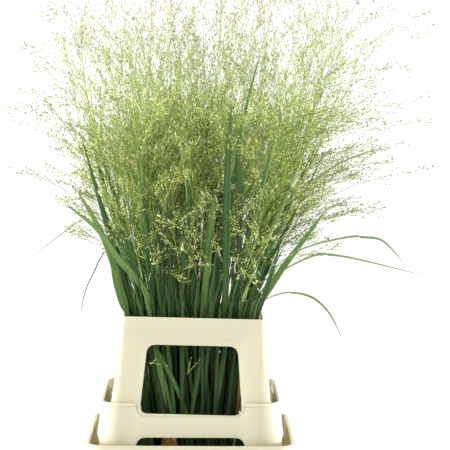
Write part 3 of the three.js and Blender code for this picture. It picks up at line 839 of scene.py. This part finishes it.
def square_ring(half, radius, z):
    ring = []
    for corner in range(4):
        middle = (corner + 0.5) * math.pi / 2
        x = math.copysign(half - radius, math.cos(middle))
        y = math.copysign(half - radius, math.sin(middle))
        for k in range(CORNER_STEPS + 1):
            angle = (corner + k / CORNER_STEPS) * math.pi / 2
            ring.append((x + radius * math.cos(angle), y + radius * math.sin(angle), z))
    return ring


def collar_half(collar, z):
    return collar["half"] + (collar["top"] - z) * collar["flare"]


def collar_ring(collar, z, inset):
    radius = max(collar["radius"] + (collar["top"] - z) * collar["rounding"] - inset, 1)
    return square_ring(collar_half(collar, z) - inset, radius, z)


def loft(name, rings, looped=False):
    """A closed solid of four-sided faces through rings. A looped one's last ring joins its first."""
    count = len(rings[0])
    faces = []
    for low in range(len(rings) if looped else len(rings) - 1):
        high = (low + 1) % len(rings)
        for k in range(count):
            after = (k + 1) % count
            faces.append((low * count + k, low * count + after, high * count + after, high * count + k))
    if not looped:
        faces.append(tuple(range(count))[::-1])
        faces.append(tuple((len(rings) - 1) * count + k for k in range(count)))
    mesh = bpy.data.meshes.new(name)
    mesh.from_pydata([Vector(point) * MM for ring in rings for point in ring], [], faces)
    return in_scene(name, mesh)


def window_outline(window):
    bottom, top, low, high, radius = window
    corners = np.array([(-low, bottom), (low, bottom), (high, top), (-high, top)], float)
    outline = []
    for k, corner in enumerate(corners):
        start = corner + unit(corners[k - 1] - corner) * radius
        end = corner + unit(corners[(k + 1) % 4] - corner) * radius
        for t in np.linspace(0, 1, WINDOW_CORNER_STEPS):
            outline.append((1 - t) ** 2 * start + 2 * t * (1 - t) * corner + t * t * end)
    return outline


def window_prism(window, sideways=False):
    outline = window_outline(window)
    reach = LIP["half"] + 10
    if sideways:
        rings = [[(side, across, z) for across, z in outline] for side in (-reach, reach)]
    else:
        rings = [[(across, side, z) for across, z in outline] for side in (reach, -reach)]
    return loft("window_cutter", rings)


def cut(piece, cutters):
    for cutter in cutters:
        modifier = piece.modifiers.new("window", "BOOLEAN")
        modifier.operation = "DIFFERENCE"
        modifier.solver = "EXACT"
        modifier.object = cutter
    apply_modifiers(piece)
    for cutter in cutters:
        bpy.data.objects.remove(cutter)


def apply_modifiers(piece):
    depsgraph = bpy.context.evaluated_depsgraph_get()
    finished = bpy.data.meshes.new_from_object(piece.evaluated_get(depsgraph))
    finished.name = piece.name
    piece.modifiers.clear()
    old = piece.data
    piece.data = finished
    bpy.data.meshes.remove(old)


def soften(piece):
    """Rounds the moulded edges."""
    bevel = piece.modifiers.new("rounded_edges", "BEVEL")
    bevel.width = EDGE_ROUNDING * MM
    bevel.segments = 2
    bevel.limit_method = "ANGLE"
    bevel.angle_limit = math.radians(40)
    bevel.use_clamp_overlap = True
    apply_modifiers(piece)
    piece.data.shade_smooth()
    piece.data.set_sharp_from_angle(angle=math.radians(38))


def collar_wall(name, collar, profile, cutters):
    """A collar round a closed profile of heights and insets, with its windows cut out."""
    wall = loft(name, [collar_ring(collar, z, inset) for z, inset in profile], looped=True)
    cut(wall, cutters)
    soften(wall)
    return wall


def upper_collar(material):
    bottom, top = UPPER["bottom"], UPPER["top"]
    cutters = [window_prism(FRONT_WINDOW), window_prism(SIDE_WINDOW, sideways=True)]
    profile = [(bottom, 0), (top, 0), (top, WALL), (bottom, WALL)]
    wall = collar_wall("collar_upper", UPPER, profile, cutters)
    rib = front_rib()
    middle = Matrix.Translation((0, 0, bottom * MM))
    for piece in (wall, rib):
        piece.data.transform(middle @ Matrix.Rotation(UPPER_LEAN, 4, "Y") @ middle.inverted())
    tag(wall, [material], "cream_plastic", "upper_collar")
    tag(rib, [material], "cream_plastic")


def front_rib():
    """A low rib, sunk a little into the upper collar's front wall."""
    levels = [(RIB["z"] + up * RIB["height"] / 2, out) for up, out in ((-1, 0), (-0.5, 1), (0.5, 1), (1, 0))]
    outline = [(z, -collar_half(UPPER, z) - out * RIB["depth"]) for z, out in levels]
    outline += [(z, -collar_half(UPPER, z) + RIB["sunk"]) for z, _ in levels[::-1]]
    ends = [[(side * RIB["half"], y, z) for z, y in outline] for side in (-1, 1)]
    return loft("collar_rib", ends)


def lower_collar(material):
    bottom, top = LOWER["bottom"], LOWER["top"]
    lean_drop = collar_half(UPPER, UPPER["bottom"]) * math.sin(UPPER_LEAN)
    shelf_top = UPPER["bottom"] - lean_drop - GAP
    shelf_bottom = shelf_top - SHELF["thickness"]
    shelf_edge = WALL + SHELF["depth"]
    cutters = [
        window_prism(LOW_FRONT_WINDOW), window_prism(RIM_NOTCH), window_prism(LOW_SIDE_WINDOW, sideways=True),
    ]
    wall = collar_wall("collar_lower", LOWER, [
        (bottom, 0), (top - BEAD["height"], 0), (top - BEAD["height"], -BEAD["depth"]), (top, -BEAD["depth"]),
        (top, WALL), (shelf_top, WALL), (shelf_top, shelf_edge), (shelf_bottom, shelf_edge),
        (shelf_bottom, WALL), (bottom, WALL),
    ], cutters)
    tag(wall, [material], "cream_plastic", "lower_collar")


def bucket(material):
    wall, foot, foot_radius = BUCKET["wall"], BUCKET["foot"], BUCKET["foot_radius"]
    top, rim, inner_rim = BUCKET["height"], BUCKET["rim_radius"], BUCKET["rim_radius"] - wall
    step = SEAT["z"] - wall - 4
    body = loft("bucket_body", [square_ring(*ring) for ring in (
        (foot, foot_radius, 0), (SEAT["below"], rim, step), (SEAT["outer"], rim, step + 4),
        (SEAT["outer"], rim, top - LIP["depth"]), (LIP["half"], rim, top - LIP["depth"]),
        (LIP["half"], rim, top), (SEAT["half"], inner_rim, top), (SEAT["half"], inner_rim, SEAT["z"]),
        (SEAT["edge"], inner_rim, SEAT["z"]), (foot - wall, foot_radius - wall, BUCKET["floor"]),
    )])
    soften(body)
    tag(body, [material], "cream_plastic", "bucket")


# ---- Materials ----

# Each ramp's colors by tone. A leaf's first one is painted: the orange-brown of the holder's inside in shade,
# and of a warm reflection.
LEAF_COLORS = [
    (0.0, (0.40, 0.17, 0.05)), (0.02, (0.008, 0.023, 0.008)), (0.4, (0.017, 0.047, 0.014)),
    (0.7, (0.048, 0.11, 0.030)), (0.9, (0.14, 0.235, 0.075)), (1.0, (0.30, 0.40, 0.16)),
]
LOWER_STEM_COLORS = [(0.0, (0.045, 0.10, 0.035)), (1.0, (0.12, 0.20, 0.06))]
UPPER_STEM_COLORS = [(0.0, (0.12, 0.21, 0.03)), (1.0, (0.25, 0.36, 0.07))]
TWIG_COLORS = [(0.0, (0.06, 0.125, 0.014)), (0.5, (0.20, 0.32, 0.042)), (1.0, (0.43, 0.54, 0.14))]
SPIKELET_COLORS = [
    (0.0, (0.115, 0.155, 0.022)), (0.4, (0.26, 0.34, 0.055)),
    (0.75, (0.60, 0.66, 0.24)), (1.0, (0.90, 0.89, 0.58)),
]
RIPE_TWIG = (0.34, 0.30, 0.165)
RIPE_SPIKELET = (0.41, 0.34, 0.235)
# Painted shade for the plume's low middle, and painted light for its dense heart.
PAINTED_LOW_SHADE = (0.38, 0.47, 0.36)
PAINTED_HEART_LIGHT = (1.17, 1.16, 1.26)


class Shader:
    """A material's node tree, with short ways to add nodes. Colors are given by three numbers."""

    def __init__(self, name):
        self.material = bpy.data.materials.new(name)
        self.material.use_nodes = True
        self.tree = self.material.node_tree
        self.tree.nodes.clear()
        self.output = self.tree.nodes.new("ShaderNodeOutputMaterial")

    def node(self, kind, settings=None, **inputs):
        """A node with its inputs set by name, or by place as in i0."""
        node = self.tree.nodes.new(f"ShaderNode{kind}")
        for key, value in (settings or {}).items():
            setattr(node, key, value)
        for key, value in inputs.items():
            socket = node.inputs[int(key[1:]) if key[1:].isdigit() else key.replace("_", " ")]
            if isinstance(value, bpy.types.NodeSocket):
                self.tree.links.new(value, socket)
            else:
                socket.default_value = (*value, 1) if isinstance(value, tuple) else value
        return node

    def attribute(self, name):
        return self.node("Attribute", {"attribute_name": name}).outputs["Fac"]

    def math(self, operation, first, second=0.0):
        return self.node("Math", {"operation": operation}, i0=first, i1=second).outputs[0]

    def times(self, first, *factors):
        for factor in factors:
            first = self.math("MULTIPLY", first, factor)
        return first

    def fade(self, value, start, end):
        """0 where the value is at start, and 1 where it is at end."""
        return self.node("MapRange", Value=value, From_Min=start, From_Max=end).outputs[0]

    def ramp(self, factor, stops):
        node = self.node("ValToRGB", Fac=factor)
        elements = node.color_ramp.elements
        while len(elements) < len(stops):
            elements.new(0.5)
        for element, (position, color) in zip(elements, stops):
            element.position = position
            element.color = (*color, 1)
        return node.outputs["Color"]

    def mix(self, factor, first, second, blend="MIX"):
        settings = {"data_type": "RGBA", "blend_type": blend}
        return self.node("Mix", settings, i0=factor, i6=first, i7=second).outputs[2]

    def tinted(self, color, tint):
        return self.mix(1.0, color, tint, "MULTIPLY")

    def place(self):
        return self.node("TexCoord").outputs["Object"]

    def across_and_up(self, middle=0.0):
        """How far each spot is aside from the middle, and how high."""
        spot = self.node("SeparateXYZ", Vector=self.place()).outputs
        aside = self.math("SUBTRACT", spot["X"], middle) if middle else spot["X"]
        return self.math("ABSOLUTE", aside), spot["Z"]

    def noise(self, scale, detail=2.0):
        return self.node("TexNoise", Vector=self.place(), Scale=scale, Detail=detail).outputs["Fac"]

    def bump(self, strength, distance, height):
        return self.node("Bump", Strength=strength, Distance=distance, Height=height).outputs["Normal"]

    def face(self, color, roughness, **inputs):
        return self.node("BsdfPrincipled", Base_Color=color, Roughness=roughness, **inputs).outputs[0]

    def finish(self, shader, glow=None, share=0.0):
        """Ends the material. With a glow, this share of it is light of that color that comes through."""
        if glow is not None:
            through = self.node("BsdfTranslucent", Color=glow).outputs[0]
            shader = self.node("MixShader", Fac=share, i1=shader, i2=through).outputs[0]
        self.tree.links.new(shader, self.output.inputs["Surface"])
        return self.material


def leaf_material():
    s = Shader("leaf_blade")
    along, across, tone = (s.attribute(name) for name in ("along", "across", "tone"))
    midrib = s.math("SUBTRACT", 1.0, s.math("MINIMUM", s.times(s.math("ABSOLUTE", across), 9.0), 1.0))
    veins = s.math("SINE", s.times(across, 40.0))
    color = s.mix(s.times(s.math("POWER", along, 3.0), 0.5), s.ramp(tone, LEAF_COLORS), (0.17, 0.29, 0.08))
    color = s.mix(s.times(s.math("ADD", veins, 1.0), 0.04), color, (0.20, 0.33, 0.15))
    color = s.mix(s.times(midrib, 0.3), color, (0.24, 0.38, 0.17))
    color = s.tinted(color, s.mix(s.noise(25.0), (0.82, 0.84, 0.8), (1.15, 1.12, 1.1)))
    # Painted shade: leaves at the bunch's sides are darker inside the holder, where its walls shade them.
    aside, z = s.across_and_up()
    side_painted_shade = s.times(s.fade(aside, 0.025, 0.08), s.fade(z, 0.40, 0.36), 0.65)
    color = s.mix(side_painted_shade, color, (0.008, 0.016, 0.007))
    bump = s.bump(0.35, 0.0004, s.math("ADD", s.times(veins, 0.3), s.times(midrib, -0.8)))
    face = s.face(color, 0.55, Specular_IOR_Level=0.15, Normal=bump)
    return s.finish(face, glow=s.mix(0.5, color, (0.30, 0.48, 0.10)), share=0.28)


def stem_material():
    s = Shader("green_stem")
    along, tone = s.attribute("along"), s.attribute("tone")
    color = s.mix(s.fade(along, 0.35, 0.7), s.ramp(tone, LOWER_STEM_COLORS), s.ramp(tone, UPPER_STEM_COLORS))
    color = s.tinted(color, s.mix(s.noise(40.0), (0.75, 0.75, 0.72), (1.2, 1.15, 1.1)))
    return s.finish(s.face(color, 0.5, Normal=s.bump(0.2, 0.0003, s.noise(300.0))))


def plume_patches(s):
    """How ripe the plume is: its top and far sides more than the rest, and some sprays more than others."""
    aside, z = s.across_and_up(0.02)
    sides = s.math("MAXIMUM", s.times(s.fade(z, 0.71, 0.91), 0.85), s.times(s.fade(aside, 0.16, 0.28), 0.6))
    sprays = s.times(s.fade(s.noise(14.0), 0.42, 0.68), 0.1)
    return s.math("MINIMUM", s.math("ADD", sides, sprays), 0.85)


def painted_shade_and_light(s, tone, color):
    """Painted shade low in the plume's middle, on all but the palest parts, and painted light in its dense
    heart above.
    """
    aside, z = s.across_and_up(0.03)
    middle = s.fade(aside, 0.18, 0.06)
    deep = s.times(s.fade(z, 0.60, 0.46), middle, s.fade(tone, 0.8, 0.4))
    color = s.mix(deep, color, s.tinted(color, PAINTED_LOW_SHADE))
    # Painted light in the dense heart, which its own depth would shade.
    heart = s.times(s.math("MINIMUM", s.fade(z, 0.76, 0.68), s.fade(z, 0.52, 0.62)), middle)
    return s.mix(heart, color, s.tinted(color, PAINTED_HEART_LIGHT))


def twig_material():
    s = Shader("fine_branch")
    tone = s.attribute("tone")
    color = painted_shade_and_light(s, tone, s.mix(plume_patches(s), s.ramp(tone, TWIG_COLORS), RIPE_TWIG))
    return s.finish(s.face(color, 0.6, Specular_IOR_Level=0.2))


def spikelet_material():
    s = Shader("pale_spikelet")
    along, tone = s.attribute("along"), s.attribute("tone")
    color = s.mix(plume_patches(s), s.ramp(tone, SPIKELET_COLORS), RIPE_SPIKELET)
    color = painted_shade_and_light(s, tone, s.mix(s.times(along, 0.2), color, (0.36, 0.28, 0.15)))
    return s.finish(s.face(color, 0.6, Specular_IOR_Level=0.2), glow=color, share=0.25)


def plastic_material():
    s = Shader("cream_plastic_moulded")
    color = s.mix(s.noise(9.0, 3.0), (0.522, 0.505, 0.365), (0.556, 0.538, 0.398))
    scuffs = s.fade(s.noise(160.0, 6.0), 0.68, 0.76)
    color = s.mix(s.times(scuffs, 0.25), color, (0.55, 0.50, 0.38))
    face = s.face(color, 0.42, Normal=s.bump(0.12, 0.0004, s.noise(420.0)))
    return s.finish(face, glow=(1.0, 0.82, 0.52), share=0.18)


def water_material():
    s = Shader("still_water")
    color = s.mix(s.noise(12.0), (0.86, 0.92, 0.86), (0.93, 0.96, 0.9))
    ripple = s.bump(0.1, 0.001, s.noise(30.0))
    return s.finish(s.face(color, 0.03, IOR=1.33, Transmission_Weight=1.0, Normal=ripple))


# ---- Stage, light and camera ----


FLOOR_REACH = 12.0


def stage():
    mesh = bpy.data.meshes.new("floor")
    corners = [(x * FLOOR_REACH, y * FLOOR_REACH, 0) for x, y in ((-1, -1), (1, -1), (1, 1), (-1, 1))]
    mesh.from_pydata(corners, [], [(0, 1, 2, 3)])
    s = Shader("pale_floor")
    color = s.mix(s.noise(3.0), (0.93, 0.93, 0.93), (0.97, 0.97, 0.97))
    mesh.materials.append(s.finish(s.face(color, 0.8)))
    in_scene("floor", mesh)


def add_light(name, location, target, size, power, spread=180):
    lamp = bpy.data.lights.new(name, "AREA")
    lamp.shape = "SQUARE"
    lamp.size = size
    lamp.energy = power
    lamp.spread = math.radians(spread)
    light = in_scene(name, lamp)
    light.location = location
    light.rotation_euler = (Vector(target) - Vector(location)).to_track_quat("-Z", "Y").to_euler()


def lights():
    world = bpy.data.worlds.new("white_studio")
    world.use_nodes = True
    background = world.node_tree.nodes["Background"]
    background.inputs["Color"].default_value = (1, 1, 1, 1)
    background.inputs["Strength"].default_value = 1.14
    bpy.context.scene.world = world
    add_light("front_softbox", (-1.3, -2.0, 2.7), (0, 0, 0.8), 1.5, 73)
    # These stand behind the holder's front plane, so they light its sides and not its front. The high ones'
    # narrow beams end above the holder, and the low ones' below the plume.
    for side, power in ((-1, 4.4), (1, 3.4)):
        add_light("side_softbox", (2.2 * side, 0.2, 1.15), (0, 0, 0.66), 0.5, power, spread=26)
        add_light("low_side_spot", (1.2 * side, 0, 0.15), (0, 0, 0.2), 0.2, 1.0, spread=40)


# The camera is far, with a long lens, and looks a little down. Its picture's middle is this point of the
# holder's front plane.
CAMERA = {"distance": 3.0, "height": 0.745, "x": 0.010, "lens": 165, "roll": math.radians(0.4)}
AIM = Vector((0.0486, -0.104, 0.523))


def camera():
    data = bpy.data.cameras.new("photo_view")
    data.lens = CAMERA["lens"]
    data.sensor_width = 36
    data.clip_end = 60
    eye = in_scene("photo_view", data)
    eye.location = (CAMERA["x"], AIM.y - CAMERA["distance"], CAMERA["height"])
    look = (AIM - eye.location).to_track_quat("-Z", "Y")
    eye.rotation_euler = (look.to_matrix() @ Matrix.Rotation(CAMERA["roll"], 3, "Z")).to_euler()
    bpy.context.scene.camera = eye


# ---- The scene ----

camera()
stage()
lights()
bpy.context.scene.view_settings.view_transform = "Standard"
bpy.context.scene.cycles.denoising_prefilter = "NONE"

leaf = leaf_material()
grass_materials = [stem_material(), leaf, twig_material(), spikelet_material()]
plastic = plastic_material()
bucket(plastic)
lower_collar(plastic)
upper_collar(plastic)
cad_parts["water"].data.materials.clear()
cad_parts["water"].data.materials.append(water_material())

culms = own_grass(grass_materials)
more_grass(grass_materials)
tufts(leaf)
long_blades(culms, leaf)
front_leaves(leaf)
front_sprays(grass_materials)

bpy.context.view_layer.update()
